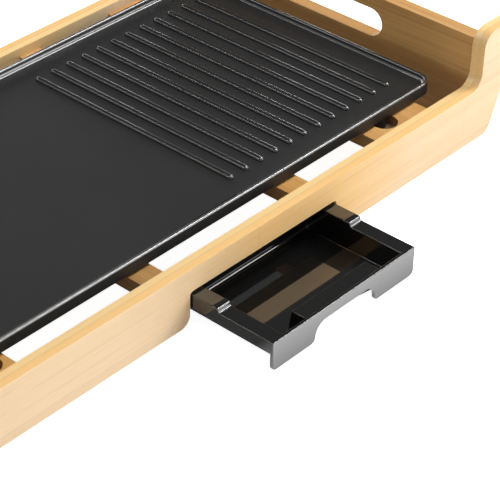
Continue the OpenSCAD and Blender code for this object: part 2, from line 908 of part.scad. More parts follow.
module tray_shell() {
    half = tray_w / 2;
    basin_half = half - flange_w;
    basin_end = tray_len - tray_rear;
    for (s = [-1, 1]) {
        tray_side(s > 0 ? half - tray_wall : -half, tray_wall, skirt_z);
        tray_side(s > 0 ? basin_half : -basin_half - tray_wall, tray_wall, basin_z - tray_wall);
        tray_flange(s > 0 ? half - flange_w : -half);
    }
    translate([-basin_half - tray_wall, 0, basin_z - tray_wall]) {
        cube([2 * (basin_half + tray_wall), basin_end, tray_wall]);
    }
    along_x(-basin_half - tray_wall, 2 * (basin_half + tray_wall)) {
        translate([basin_end - tray_wall, basin_z - tray_wall]) square([tray_wall, tray_depth + tray_wall]);
        translate([basin_end - tray_wall, flange_z - tray_wall]) square([tray_rear + tray_wall, tray_wall]);
        difference() {
            translate([basin_end - tray_wall - foot_fillet, basin_z - tray_wall / 2]) {
                square([foot_fillet + tray_wall / 2, foot_fillet + tray_wall / 2]);
            }
            translate([basin_end - tray_wall - foot_fillet, basin_z + foot_fillet]) circle(foot_fillet);
        }
    }
    along_y(0, tray_front_t) translate([0, tray_lift]) front_outline();
    along_x(-pocket_w / 2, pocket_w) pocket_outline(0);
}

module front_outline() {
    half = tray_w / 2;
    translate([-half + front_r, 0]) square([tray_w - 2 * front_r, tray_front_h]);
    translate([-half, front_r]) square([tray_w, tray_front_h - front_r]);
    for (s = [-1, 1]) {
        translate([s * (half - front_r), front_r]) circle(front_r);
    }
}

module drip_tray() {
    color([0.12, 0.12, 0.12]) translate([tray_x, tray_y, 0]) difference() {
        tray_shell();
        along_x(-pocket_w / 2 + tray_wall, pocket_w - 2 * tray_wall) {
            intersection() {
                pocket_outline(tray_wall);
                translate([tray_front_t, -cut]) square([2 * pocket_d, flange_z]);
            }
        }
        along_y(-cut, tray_front_t + 2 * cut) translate([0, tray_lift]) {
            arch(finger_w, finger_h, finger_top_r, finger_flare);
        }
    }
}

// Heat control that plugs onto the terminals

module ctrl_shell(low, high) {
    difference() {
        translate([ctrl_x - ctrl_w / 2, ctrl_y, low]) cube([ctrl_w, ctrl_len, high - low]);
        translate([ctrl_x - ctrl_w / 2 + ctrl_wall, ctrl_y + ctrl_wall, ctrl_z + ctrl_wall]) {
            cube([ctrl_w - 2 * ctrl_wall, ctrl_len - 2 * ctrl_wall, ctrl_h - 2 * ctrl_wall]);
        }
    }
}

module ctrl_bores() {
    for (x = pin_xs) {
        rod_y(x, nose_y - cut, pin_z, nose_len + ctrl_wall + 2 * cut, sleeve_r + fit);
    }
    rod_y(ctrl_x, nose_y - cut, pin_z, nose_len + ctrl_wall + 2 * cut, probe_d / 2 + fit);
    rod_y(ctrl_x, ctrl_end - ctrl_wall - cut, pin_z, ctrl_wall + 2 * cut, gland_d / 2 + fit);
}

module control_base() {
    color([0.1, 0.1, 0.1]) difference() {
        union() {
            ctrl_shell(ctrl_z, pin_z);
            translate([ctrl_x - nose_w / 2, nose_y, pin_z - nose_h / 2]) cube([nose_w, nose_len, nose_h]);
            translate([ctrl_x - nose_w / 2, nose_y, pin_z - nose_h / 2]) {
                cube([nose_w, nose_len + ctrl_wall, nose_h / 2]);
            }
        }
        ctrl_bores();
        control_screw_set(fit);
    }
}

module control_cover() {
    color([0.1, 0.1, 0.1]) difference() {
        union() {
            ctrl_shell(pin_z, ctrl_top);
            for (x = [-post_x, post_x], y = post_ys) {
                translate([ctrl_x + x, y, ctrl_z + ctrl_wall]) {
                    cylinder(r = post_r, h = ctrl_h - 2 * ctrl_wall + cut);
                }
            }
        }
        ctrl_bores();
        translate([ctrl_x, dial_y, pin_z]) cylinder(r = shaft_d / 2 + shaft_gap, h = ctrl_h);
        translate([ctrl_x, lens_y, pin_z]) cylinder(r = lens_r + fit, h = ctrl_h);
        control_screw_set(fit);
    }
}

module control_screw_set(gap) {
    for (x = [-post_x, post_x], y = post_ys) {
        translate([0, 0, -cut]) screw_up(ctrl_x + x, y, ctrl_z + head_h + cut, control_screw_l, gap);
    }
}

module control_screws() color("silver") control_screw_set(0);

module thermostat_switch() {
    color("white") difference() {
        translate([ctrl_x - switch_w / 2, switch_y, switch_z]) cube([switch_w, switch_l, switch_h]);
        rod_y(ctrl_x, switch_y - cut, pin_z, probe_in + cut, probe_d / 2 + fit);
    }
}

module temperature_probe() {
    color("silver") rod_y(ctrl_x, nose_y - probe_len, pin_z,
        switch_y + probe_in - nose_y + probe_len, probe_d / 2);
}

module contact_sleeves() {
    color("gold") for (x = pin_xs) {
        difference() {
            rod_y(x, nose_y, pin_z, switch_y - nose_y, sleeve_r);
            rod_y(x, nose_y - cut, pin_z, switch_y - nose_y + 2 * cut, pin_d / 2 + pin_gap);
        }
    }
}

module indicator_lens() {
    color("red") {
        translate([ctrl_x, lens_y, ctrl_top - ctrl_wall]) cylinder(r = lens_r, h = ctrl_wall + lens_rise);
        translate([ctrl_x, lens_y, ctrl_top - ctrl_wall - lens_rise]) {
            cylinder(r = lens_r + lens_rise, h = lens_rise);
        }
    }
}

module cord_gland() {
    color([0.08, 0.08, 0.08]) difference() {
        union() {
            rod_y(ctrl_x, ctrl_end - ctrl_wall - collar_t, pin_z,
                gland_len + ctrl_wall + collar_t, gland_d / 2);
            rod_y(ctrl_x, ctrl_end - ctrl_wall - collar_t, pin_z, collar_t, collar_r);
        }
        rod_y(ctrl_x, ctrl_end - ctrl_wall - collar_t - cut, pin_z,
            gland_len + ctrl_wall + collar_t + 2 * cut, cord_d / 2);
    }
}

module control_dial() {
    color([0.15, 0.15, 0.15]) difference() {
        union() {
            translate([ctrl_x, dial_y, ctrl_top + seat]) cylinder(d = dial_d, h = dial_skirt);
            translate([ctrl_x, dial_y, ctrl_top + seat]) cylinder(d = dial_d - 2 * dial_step, h = dial_h - dial_bar_h);
            intersection() {
                translate([ctrl_x, dial_y, ctrl_top + seat]) cylinder(d = dial_d - 2 * dial_step, h = dial_h);
                translate([ctrl_x - dial_bar / 2, dial_y - dial_d / 2, ctrl_top + seat]) {
                    cube([dial_bar, dial_d, dial_h]);
                }
            }
        }
        shaft(fit);
    }
}

module shaft(gap) {
    low = switch_z + switch_h + seat;
    translate([ctrl_x, dial_y, low]) {
        cylinder(r = shaft_d / 2 + gap, h = ctrl_top + seat + dial_h - dial_bar_h - low);
    }
}

module dial_shaft() color("silver") shaft(0);

front_board();
back_board();
left_end_panel();
right_end_panel();
left_outer_slat();
left_inner_slat();
right_inner_slat();
right_outer_slat();
frame_dowels();
rubber_feet();
left_tray_runner();
right_tray_runner();
runner_screws();
cooking_plate();
plate_feet();
plate_foot_screws();
heating_element();
element_clamps();
clamp_screws();
heat_reflector();
reflector_screws();
terminal_block();
terminal_screws();
contact_pins();
socket_shroud();
drip_tray();
control_base();
control_cover();
control_screws();
thermostat_switch();
temperature_probe();
contact_sleeves();
indicator_lens();
cord_gland();
control_dial();
dial_shaft();
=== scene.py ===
import math

import bmesh
import bpy
from mathutils import Matrix, Vector


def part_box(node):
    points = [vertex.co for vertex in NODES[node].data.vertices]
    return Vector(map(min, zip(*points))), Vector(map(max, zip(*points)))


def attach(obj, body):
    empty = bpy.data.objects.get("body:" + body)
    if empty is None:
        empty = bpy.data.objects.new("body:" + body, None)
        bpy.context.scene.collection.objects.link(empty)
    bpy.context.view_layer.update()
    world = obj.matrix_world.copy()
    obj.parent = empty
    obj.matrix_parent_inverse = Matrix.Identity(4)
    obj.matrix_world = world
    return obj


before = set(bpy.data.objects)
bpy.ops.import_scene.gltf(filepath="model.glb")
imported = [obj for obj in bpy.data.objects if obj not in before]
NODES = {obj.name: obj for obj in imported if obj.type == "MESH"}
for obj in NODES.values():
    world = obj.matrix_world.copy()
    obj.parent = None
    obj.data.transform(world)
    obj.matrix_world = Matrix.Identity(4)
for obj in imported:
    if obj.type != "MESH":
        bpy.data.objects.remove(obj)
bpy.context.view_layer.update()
scene = bpy.context.scene

# Lengths are in metres, and angles are written in degrees. A band holds the two ends of a soft step.


def new_object(name, data):
    obj = bpy.data.objects.new(name, data)
    scene.collection.objects.link(obj)
    return obj


def middle(name):
    """The centre of a node's box."""
    low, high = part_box(name)
    return (Vector(low) + Vector(high)) / 2


# Camera

AZIMUTH, ELEVATION, ROLL = -49.12, 35.45, 1.47
EYE = Vector((-0.8262, -0.8605, 0.8006))
FOCAL_PIXELS, PHOTO_PIXELS = 1927.9, 500
SENSOR_MM = 36
NEAR_CLIP = 0.05


def make_camera():
    """Looks as the photograph's camera does."""
    azimuth, elevation, roll = (math.radians(v) for v in (AZIMUTH, ELEVATION, ROLL))
    flat = math.cos(elevation)
    back = Vector((math.sin(azimuth) * flat, -math.cos(azimuth) * flat, math.sin(elevation)))
    level = Vector((math.cos(azimuth), math.sin(azimuth), 0))
    upright = back.cross(level)
    right = level * math.cos(roll) + upright * math.sin(roll)
    up = upright * math.cos(roll) - level * math.sin(roll)
    data = bpy.data.cameras.new("camera")
    data.sensor_fit = "HORIZONTAL"
    data.sensor_width = SENSOR_MM
    data.lens = FOCAL_PIXELS / PHOTO_PIXELS * SENSOR_MM
    data.clip_start = NEAR_CLIP
    camera = new_object("camera", data)
    placement = Matrix((right, up, back)).transposed().to_4x4()
    placement.translation = EYE
    camera.matrix_world = placement
    scene.camera = camera


make_camera()
scene.view_settings.view_transform = "Standard"


# Node trees


class Graph:
    """A short way to write a node tree. A value is a socket, a setting, or a colour as three numbers."""

    # The places of the colours among a Mix node's sockets.
    FIRST_COLOR, SECOND_COLOR, MIXED_COLOR = 6, 7, 2

    def __init__(self, tree):
        self.tree = tree
        tree.nodes.clear()

    def put(self, value, socket):
        if isinstance(value, bpy.types.NodeSocket):
            self.tree.links.new(value, socket)
        elif isinstance(value, tuple):
            socket.default_value = (*value, 1)
        else:
            socket.default_value = value

    def fill(self, node, values):
        """Sets a node's inputs by name. In a name, _ stands for a space."""
        for key, value in values.items():
            self.put(value, node.inputs[key.replace("_", " ")])

    def add(self, kind, *ordered, settings=(), **named):
        """Makes a node, with its settings, and with its inputs in order or by name."""
        node = self.tree.nodes.new(kind)
        for key, value in dict(settings).items():
            setattr(node, key, value)
        for value, socket in zip(ordered, node.inputs):
            self.put(value, socket)
        self.fill(node, named)
        return node

    def math(self, operation, *values):
        return self.add("ShaderNodeMath", *values, settings={"operation": operation}).outputs[0]

    def plus(self, a, b):
        return self.math("ADD", a, b)

    def minus(self, a, b):
        return self.math("SUBTRACT", a, b)

    def times(self, a, b):
        return self.math("MULTIPLY", a, b)

    def higher(self, a, b):
        return self.math("MAXIMUM", a, b)

    def size(self, a):
        return self.math("ABSOLUTE", a)

    def span(self, value, low, high, to_low=0.0, to_high=1.0):
        """Goes from to_low to to_high while the value goes from low to high."""
        return self.add("ShaderNodeMapRange", value, low, high, to_low, to_high).outputs[0]

    def axes(self, kind):
        """The x, y and z of the point or the normal, by letter. kind is Object, Generated or Normal."""
        vector = self.add("ShaderNodeTexCoord").outputs[kind]
        return dict(zip("xyz", self.add("ShaderNodeSeparateXYZ", vector).outputs))

    def vector(self, x, y, z):
        return self.add("ShaderNodeCombineXYZ", x, y, z).outputs[0]

    def scaled(self, parts, scales):
        """A vector of three parts, each times its own scale."""
        return self.vector(*(self.times(part, scale) for part, scale in zip(parts, scales)))

    def noise(self, vector, scale=1.0, detail=3.0, rough=0.5):
        node = self.add("ShaderNodeTexNoise", Vector=vector, Scale=scale, Detail=detail, Roughness=rough)
        return node.outputs["Fac"]

    def cells(self, vector):
        return self.add("ShaderNodeTexVoronoi", Vector=vector, Scale=1.0).outputs["Distance"]

    def chance(self, x, y, z):
        """A random value from 0 to 1 that three numbers fix."""
        return self.add("ShaderNodeTexWhiteNoise", Vector=self.vector(x, y, z)).outputs["Value"]

    def mix(self, share, a, b, kind="MIX"):
        node = self.add("ShaderNodeMix", share, settings={"data_type": "RGBA", "blend_type": kind})
        self.put(a, node.inputs[self.FIRST_COLOR])
        self.put(b, node.inputs[self.SECOND_COLOR])
        return node.outputs[self.MIXED_COLOR]

    def tint(self, share, color, by):
        """The colour times another one, as far as share says."""
        return self.mix(share, color, by, "MULTIPLY")


class Surface(Graph):
    """A material of one Principled shader. at is the point, along the object's own axes."""

    def __init__(self, name):
        self.material = bpy.data.materials.new(name)
        self.material.use_nodes = True
        super().__init__(self.material.node_tree)
        self.shader = self.add("ShaderNodeBsdfPrincipled")
        self.add("ShaderNodeOutputMaterial", self.shader.outputs[0])
        self.at = self.add("ShaderNodeTexCoord").outputs["Object"]

    def set(self, **values):
        """Sets inputs of the shader."""
        self.fill(self.shader, values)

    def bump(self, height, strength, distance):
        node = self.add("ShaderNodeBump", Height=height, Strength=strength, Distance=distance)
        self.set(Normal=node.outputs[0])


# Light

WHITE = (1, 1, 1)
SKY_LOW, SKY_HIGH = 0.22, 0.36
SOFT_COLOR, SOFT_STRENGTH = (1.0, 0.99, 0.97), 0.11


def make_world():
    """White to the camera, and to mirrors below SKY_LOW. From SKY_HIGH up mirrors see a dark studio, as in
    the photograph."""
    scene.world = bpy.data.worlds.new("world")
    scene.world.use_nodes = True
    g = Graph(scene.world.node_tree)
    rays = g.add("ShaderNodeLightPath").outputs
    low = g.span(g.axes("Generated")["z"], SKY_LOW, SKY_HIGH, 1.0, 0.0)
    mirrored = g.times(rays["Is Glossy Ray"], low)
    straight = g.higher(rays["Is Camera Ray"], rays["Is Transmission Ray"])
    soft = g.add("ShaderNodeBackground", SOFT_COLOR, SOFT_STRENGTH).outputs[0]
    white = g.add("ShaderNodeBackground", WHITE, 1.0).outputs[0]
    sky = g.add("ShaderNodeMixShader", g.higher(straight, mirrored), soft, white)
    g.add("ShaderNodeOutputWorld", sky.outputs[0])


def lamp(name, place, size, power, aim=None, turn=(0, 0)):
    """A flat lamp that looks at the point aim or, without one, down, but turned about X and about Y."""
    data = bpy.data.lights.new(name, "AREA")
    data.shape = "RECTANGLE"
    data.size, data.size_y = size
    data.energy = power
    obj = new_object(name, data)
    obj.location = place
    if aim:
        obj.rotation_euler = (Vector(aim) - Vector(place)).to_track_quat("-Z", "Y").to_euler()
    else:
        obj.rotation_euler = (math.radians(turn[0]), math.radians(turn[1]), 0)


make_world()
lamp("key", place=(1.49, -0.61, 1.885), size=(1.2, 0.4), power=42, turn=(15, 0))
lamp("top", place=(0.1, -0.5, 2.4), size=(1.9, 1.9), power=27, aim=(0, 0, 0))
lamp("front", place=(0.25, -2.35, 0.34), size=(3.0, 0.6), power=17, aim=(0, 0, 0.04))
lamp("back", place=(0.3, 2.5, 0.5), size=(2.6, 0.8), power=15, aim=(0, 0, 0.03))
lamp("left", place=(-2.4, 0.1, 0.05), size=(0.1, 2.2), power=18, turn=(0, -90))
lamp("right", place=(2.5, 0.2, 0.3), size=(2.2, 0.4), power=8, aim=(0, 0, 0.04))
lamp("edge", place=(1.40, -1.69, 0.92), size=(1.15, 0.24), power=9, turn=(61.5, 0))
lamp("back_left", place=(-1.33, 1.25, 1.42), size=(0.12, 0.9), power=5, turn=(0, -43))
lamp("back_right", place=(1.95, 1.25, 0.22), size=(0.12, 0.9), power=4, turn=(0, 83.5))


# Bamboo


def srgb(*channels):
    """A screen colour, 0 to 255, as linear light."""
    def linear(v):
        return v / 12.92 if v <= 0.04045 else ((v + 0.055) / 1.055) ** 2.4

    return tuple(linear(v / 255) for v in channels)


# Each set of tones goes from the light wood to the clouds in it and to its dark streaks.
PALE = (srgb(252, 239, 217), srgb(249, 231, 202), srgb(229, 196, 148))
# TAN is the wood made darker and more saturated for the end panels: painted shade and warm bounce light on
# their inner faces.
TAN = (srgb(238, 190, 118), srgb(222, 165, 92), srgb(160, 104, 46))
BROWN = (srgb(236, 184, 108), srgb(208, 150, 76), srgb(140, 88, 36))

# Features per metre along the grain, across the lamellas and through the plies.
CLOUDS = (2.2, 60.0, 60.0)
STREAKS = (7.0, 420.0, 420.0)
FIBRES = (45.0, 1500.0, 1500.0)
DOTS = (60.0, 1300.0, 1300.0)
WAVE_ALONG, WAVE_ACROSS = 3.0, 6.0

MIDDLE_BAND = (0.3, 0.7)
CLOUD_BAND = (0.32, 0.68)
STREAK_BAND, STREAK_SHARE = (0.52, 0.78), 0.5
FIBRE_BAND, FIBRE_SHARE, FIBRE_COLOR = (0.6, 0.8), 0.35, srgb(186, 136, 78)
WAVE_SHARE, WAVE_COLOR = 0.12, srgb(255, 236, 200)
SATIN_BAND, SATIN_ROUGHNESS = (0.3, 0.8), (0.40, 0.58)
STREAK_HEIGHT, FIBRE_HEIGHT, FACE_DEPTH = 0.6, 0.4, 0.8
WOOD_BUMP, WOOD_RELIEF = 0.35, 0.00025

# Lamellas and plies are counted from a place outside the part, which also sets where their joints fall.
BOARD_LAMELLA, SLAT_LAMELLA, PLY = 0.0195, 0.0212, 0.006
LAMELLA_SHIFT, PLY_SHIFT = 1.003, 1.0015
LAMELLA_SHADES = (0.90, 1.04)
FACE_BAND, FACE_SHARE = (0.488, 0.498), 0.28
KNOT_SPACING, KNOT_SEED = 0.31, 3.7
KNOT_BAND, KNOT_SHARE, KNOT_COLOR = (0.0, 0.0045), 0.14, srgb(196, 146, 88)
KNOT_STREAK_BAND, KNOT_STREAKS = (0.25, 0.6), (0.35, 1.0)

# The two plies of a long board, from its middle plane out.
BOARD_GLUE_Y = abs(middle("front_board").y)
OUTER_FADE, OUTER_TINT = 0.0001, srgb(252, 240, 226)
GLUE_BAND, GLUE_SHARE, GLUE_COLOR = (0.00008, 0.00022), 0.55, srgb(160, 112, 62)

# The golden stretch round the tray is painted shade: the wood is tinted warmer and darker where the dark
# tray below keeps light from it. The long boards' upper edges are golden too.
TRAY_SHADE_LEFT, TRAY_SHADE_RIGHT, TRAY_SHADE_DRIFT, TRAY_SHADE_SHARE = (-0.09, -0.02), (0.07, 0.15), 0.16, 0.7
GOLD_UP_BAND, GOLD_UP_SHARE, GOLD_TINT = (0.4, 0.8), 0.75, srgb(255, 230, 162)

END_BAND, END_SHARE, DOT_BAND = (0.75, 0.9), 0.85, (0.1, 0.42)
END_DARK, END_LIGHT = srgb(168, 112, 56), srgb(236, 194, 124)

# The pockets that the plate's feet stand in, near the ends of the outer slats. Their floors get a painted
# shade.
POCKET_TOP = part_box("left_outer_slat")[1][2] - 0.001
POCKET_Y = 0.099
POCKET_BAND, POCKET_Y_BAND = (POCKET_TOP - 0.0004, POCKET_TOP), (POCKET_Y - 0.001, POCKET_Y)
POCKET_UP_BAND, POCKET_SHADE = (0.5, 0.7), (0.26, 0.3, 0.4)


def lamellas(g, grain, streak, color, deep, lamella, seed):
    """Shades each lamella in its own way, with a few knots. Also gives face, which is 1 on a lamella and 0
    on the joint to the next one: the joints stay lighter and stand higher by a hair."""
    along, across, through = grain
    count = g.math("DIVIDE", g.plus(across, LAMELLA_SHIFT), lamella)
    row = g.math("FLOOR", count)
    ply = g.math("FLOOR", g.math("DIVIDE", g.plus(through, PLY_SHIFT), PLY))
    shade = g.span(g.chance(row, ply, seed), 0.0, 1.0, *LAMELLA_SHADES)
    color = g.tint(1.0, color, g.vector(shade, shade, shade))
    shift = g.chance(ply, row, seed + KNOT_SEED)
    knot_place = g.math("FRACT", g.plus(g.math("DIVIDE", along, KNOT_SPACING), shift))
    knot = g.span(g.size(g.minus(knot_place, 0.5)), *KNOT_BAND, KNOT_SHARE, 0.0)
    knot = g.times(knot, g.span(streak, *KNOT_STREAK_BAND, *KNOT_STREAKS))
    color = g.mix(knot, color, KNOT_COLOR)
    face = g.span(g.size(g.minus(g.math("FRACT", count), 0.5)), *FACE_BAND, 1.0, 0.0)
    return g.mix(g.times(face, FACE_SHARE), color, deep), face


def board_plies(g, grain, wave, upward, color):
    """A long board's outer ply, its golden upper edges, the painted golden shade round the tray, and its
    glue line.
    """
    along, across, through = grain
    depth = g.size(through)
    outer = g.span(depth, BOARD_GLUE_Y - OUTER_FADE, BOARD_GLUE_Y + OUTER_FADE)
    color = g.tint(outer, color, OUTER_TINT)
    # Painted shade: a golden stretch round the tray, with wavy edges.
    drift = g.plus(along, g.times(g.minus(wave, 0.5), TRAY_SHADE_DRIFT))
    golden = g.times(g.span(drift, *TRAY_SHADE_LEFT), g.span(drift, *TRAY_SHADE_RIGHT, TRAY_SHADE_SHARE, 0.0))
    golden = g.higher(golden, g.span(upward, *GOLD_UP_BAND, to_high=GOLD_UP_SHARE))
    color = g.tint(golden, color, GOLD_TINT)
    glue = g.span(g.size(g.minus(depth, BOARD_GLUE_Y)), *GLUE_BAND, GLUE_SHARE, 0.0)
    return g.mix(glue, color, GLUE_COLOR)


def end_grain(g, grain, facing, color):
    """The dots on faces that are cut across the grain. facing is the normal's part along it."""
    dots = g.mix(g.span(g.cells(g.scaled(grain, DOTS)), *DOT_BAND), END_DARK, END_LIGHT)
    return g.mix(g.span(g.size(facing), *END_BAND, to_high=END_SHARE), color, dots)


def pocket_floors(g, point, upward, color):
    """Painted shade on the floors of the pockets: their floors are darkened."""
    low = g.span(point["z"], *POCKET_BAND, 1.0, 0.0)
    near_board = g.span(g.size(point["y"]), *POCKET_Y_BAND)
    darkening = g.times(g.times(g.span(upward, *POCKET_UP_BAND), low), near_board)
    return g.tint(darkening, color, POCKET_SHADE)


def bamboo(name, axes, tones, seed, tone=1.0, lamella=SLAT_LAMELLA, plies=False, pockets=False):
    """Laminated bamboo. axes are those along the grain, across the lamellas and through the plies. plies is
    for the long boards, and pockets for the slats that the plate's feet stand in: it paints shade on the
    pockets' floors."""
    g = Surface(name)
    point, normal = g.axes("Object"), g.axes("Normal")
    grain = [point[axis] for axis in axes]
    wave = g.noise(g.vector(g.times(grain[0], WAVE_ALONG), g.times(grain[1], WAVE_ACROSS), seed), detail=2.0)
    clouds = g.noise(g.scaled(grain, CLOUDS), rough=0.55)
    streak = g.noise(g.scaled(grain, STREAKS), rough=0.6)
    fibre = g.noise(g.scaled(grain, FIBRES), detail=2.0, rough=0.6)
    light, cloudy, deep = tones
    color = g.mix(g.span(clouds, *CLOUD_BAND), light, cloudy)
    color = g.mix(g.span(streak, *STREAK_BAND, to_high=STREAK_SHARE), color, deep)
    color = g.mix(g.span(fibre, *FIBRE_BAND, to_high=FIBRE_SHARE), color, FIBRE_COLOR)
    color, face = lamellas(g, grain, streak, color, deep, lamella, seed)
    if plies:
        color = board_plies(g, grain, wave, normal["z"], color)
    color = end_grain(g, grain, normal[axes[0]], color)
    color = g.mix(g.span(wave, *MIDDLE_BAND, to_high=WAVE_SHARE), color, WAVE_COLOR)
    # Painted shade in the pockets.
    if pockets:
        color = pocket_floors(g, point, normal["z"], color)
    g.set(Base_Color=g.tint(1.0, color, (tone, tone, tone)))
    g.set(Roughness=g.span(streak, *SATIN_BAND, *SATIN_ROUGHNESS), Specular_IOR_Level=0.4)
    height = g.minus(g.times(fibre, FIBRE_HEIGHT), g.times(face, FACE_DEPTH))
    g.bump(g.plus(g.times(streak, STREAK_HEIGHT), height), WOOD_BUMP, WOOD_RELIEF)
    return g.material


# Metal, enamel and plastic

RIM_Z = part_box("cooking_plate")[1][2]
BASIN_Z = RIM_Z - 0.0058
RIB_END_Y = 0.1015
CAST_BAND = (BASIN_Z + 0.0003, BASIN_Z + 0.0009)
RAISED_BAND, UPWARD_BAND = (BASIN_Z + 0.0005, BASIN_Z + 0.0013), (0.0, 0.25)
RIM_BAND = (RIM_Z - 0.0018, RIM_Z - 0.0010)
RIB_END_BAND = (RIB_END_Y - 0.0045, RIB_END_Y - 0.0025)
PLATE_DARK, PLATE_LIGHT = (0.0108, 0.0107, 0.0106), (0.0140, 0.0138, 0.0137)
SPECK_BAND, SPECK_SHARE, SPECK_COLOR = (0.62, 0.8), 0.4, (0.05, 0.0495, 0.048)
CAST_ROUGHNESS, RAISED_POLISH, LEAST_COAT = (0.44, 0.52), 0.16, 0.4
GRAIN_HEIGHT, MEAN_HEIGHT, CAST_BUMP, CAST_RELIEF = 0.5, 0.75, 0.08, 0.00005


def coated_plate():
    """Cast and dark. The upper sides of its rim and ribs are smoother, under a gloss coat that is full on
    the rim and at the ribs' ends."""
    g = Surface("coated_cast_plate")
    point, normal = g.axes("Object"), g.axes("Normal")
    grain = g.noise(g.at, scale=2600.0, rough=0.6)
    cast = g.noise(g.at, scale=420.0, detail=4.0, rough=0.6)
    clouds = g.noise(g.at, scale=14.0)
    color = g.mix(g.span(clouds, *MIDDLE_BAND), PLATE_DARK, PLATE_LIGHT)
    color = g.mix(g.span(grain, *SPECK_BAND, to_high=SPECK_SHARE), color, SPECK_COLOR)
    raised = g.times(g.span(point["z"], *RAISED_BAND), g.span(normal["z"], *UPWARD_BAND))
    full = g.higher(g.span(point["z"], *RIM_BAND), g.span(g.size(point["y"]), *RIB_END_BAND))
    coat = g.times(raised, g.span(full, 0.0, 1.0, LEAST_COAT, 1.0))
    rough = g.minus(g.span(grain, *MIDDLE_BAND, *CAST_ROUGHNESS), g.times(raised, RAISED_POLISH))
    g.set(Base_Color=color, Roughness=rough, Coat_Weight=coat)
    g.set(Specular_IOR_Level=0.4, Coat_Roughness=0.18, Coat_IOR=2.0)
    relief = g.minus(g.plus(g.times(grain, GRAIN_HEIGHT), cast), MEAN_HEIGHT)
    g.bump(g.times(relief, g.span(point["z"], *CAST_BAND, 1.0, 0.0)), CAST_BUMP, CAST_RELIEF)
    return g.material


ENAMEL, DUST = (0.0065, 0.0065, 0.0065), (0.022, 0.022, 0.022)
DUST_BAND, ENAMEL_BAND, ENAMEL_ROUGHNESS = (0.66, 0.8), (0.3, 0.8), (0.03, 0.06)
ENAMEL_BUMP, ENAMEL_RELIEF = 0.02, 0.00004


def gloss_black():
    """Mirror-like enamel with a fine dust and a hint of orange peel."""
    g = Surface("gloss_black_enamel")
    peel = g.noise(g.at, scale=160.0, detail=2.0)
    dust = g.noise(g.at, scale=5200.0, detail=2.0, rough=0.6)
    g.set(Base_Color=g.mix(g.span(dust, *DUST_BAND), ENAMEL, DUST))
    g.set(Roughness=g.span(dust, *ENAMEL_BAND, *ENAMEL_ROUGHNESS), IOR=1.95)
    g.bump(peel, ENAMEL_BUMP, ENAMEL_RELIEF)
    return g.material


BRUSH_ALONG, BRUSH_ACROSS = 30.0, 2200.0
BRUSH_POLISH, BRUSH_ROUGHER, BRUSH_RELIEF = 0.06, 0.1, 0.00006


def metal(name, color, rough, axis="x", strength=0.3, darkening=0.72):
    """Metal brushed along an axis. stain is how dark its stains are, from 0 to 1, where 1 is none."""
    g = Surface(name)
    scales = [BRUSH_ALONG if letter == axis else BRUSH_ACROSS for letter in "xyz"]
    brushed = g.noise(g.scaled(g.axes("Object").values(), scales), rough=0.6)
    clouds = g.noise(g.at, scale=60.0, rough=0.6)
    stained = tuple(v * darkening for v in color)
    g.set(Base_Color=g.mix(g.span(clouds, *MIDDLE_BAND), stained, color), Metallic=1.0)
    g.set(Roughness=g.span(brushed, *MIDDLE_BAND, rough - BRUSH_POLISH, rough + BRUSH_ROUGHER))
    g.bump(brushed, strength, BRUSH_RELIEF)
    return g.material


LIGHTER_TIMES, LIGHTER_PLUS = 1.25, 0.002
PLASTIC_POLISH, PLASTIC_ROUGHER, PLASTIC_RELIEF = 0.05, 0.07, 0.00012


def plastic(name, color, rough, grain_scale=2400.0, strength=0.25):
    """Moulded plastic or rubber with a fine grain, a little lighter in clouds."""
    g = Surface(name)
    grain = g.noise(g.at, scale=grain_scale, detail=2.0)
    clouds = g.noise(g.at, scale=30.0)
    lighter = tuple(min(1.0, v * LIGHTER_TIMES + LIGHTER_PLUS) for v in color)
    g.set(Base_Color=g.mix(g.span(clouds, *MIDDLE_BAND), color, lighter))
    g.set(Roughness=g.span(grain, *MIDDLE_BAND, rough - PLASTIC_POLISH, rough + PLASTIC_ROUGHER))
    g.bump(grain, strength, PLASTIC_RELIEF)
    return g.material


MATERIALS = {
    "board": bamboo("bamboo_board", "xzy", PALE, seed=0.0, lamella=BOARD_LAMELLA, plies=True),
    # The end panels' TAN tones and lower tone are painted shade.
    "panel": bamboo("bamboo_panel", "yzx", TAN, seed=5.0, tone=0.9, lamella=BOARD_LAMELLA),
    "slat": bamboo("bamboo_slat", "yxz", BROWN, seed=9.0),
    "slat_outer": bamboo("bamboo_slat_outer", "yxz", BROWN, seed=17.0, pockets=True),
    # A darker copy of the slat wood, for the left inner slat alone: painted shade.
    "slat_shaded": bamboo("bamboo_slat_dark", "yxz", BROWN, seed=21.0, tone=0.7),
    "dowel": bamboo("bamboo_dowel", "yxz", PALE, seed=13.0, tone=0.9, lamella=BOARD_LAMELLA),
    "plate": coated_plate(),
    "tray": gloss_black(),
    "steel": metal("zinc_plated_steel", (0.62, 0.62, 0.63), rough=0.32),
    "runner": metal("folded_sheet", (0.58, 0.58, 0.60), rough=0.3, axis="y"),
    "element": metal("heat_darkened_sheath", (0.16, 0.14, 0.125), rough=0.5),
    "reflector": metal("reflector_sheet", (0.74, 0.74, 0.73), rough=0.34, strength=0.15, darkening=0.94),
    "brass": metal("brass", (0.71, 0.50, 0.20), rough=0.25, axis="y"),
    "rubber": plastic("black_rubber", (0.018, 0.018, 0.018), rough=0.75, grain_scale=1500.0, strength=0.4),
    "foot": plastic("black_foot_plastic", (0.012, 0.012, 0.012), rough=0.5),
    "ceramic": plastic("ivory_ceramic", (0.72, 0.66, 0.54), rough=0.6, grain_scale=3000.0),
    "control": plastic("black_housing", (0.018, 0.018, 0.019), rough=0.42, grain_scale=1800.0, strength=0.5),
    "switch": plastic("switch_plastic", (0.55, 0.54, 0.50), rough=0.5),
    "print": plastic("white_print", (0.74, 0.74, 0.72), rough=0.5, grain_scale=1200.0, strength=0.1),
    "lens": plastic("red_lens", (0.55, 0.02, 0.015), rough=0.12, grain_scale=300.0, strength=0.02),
}

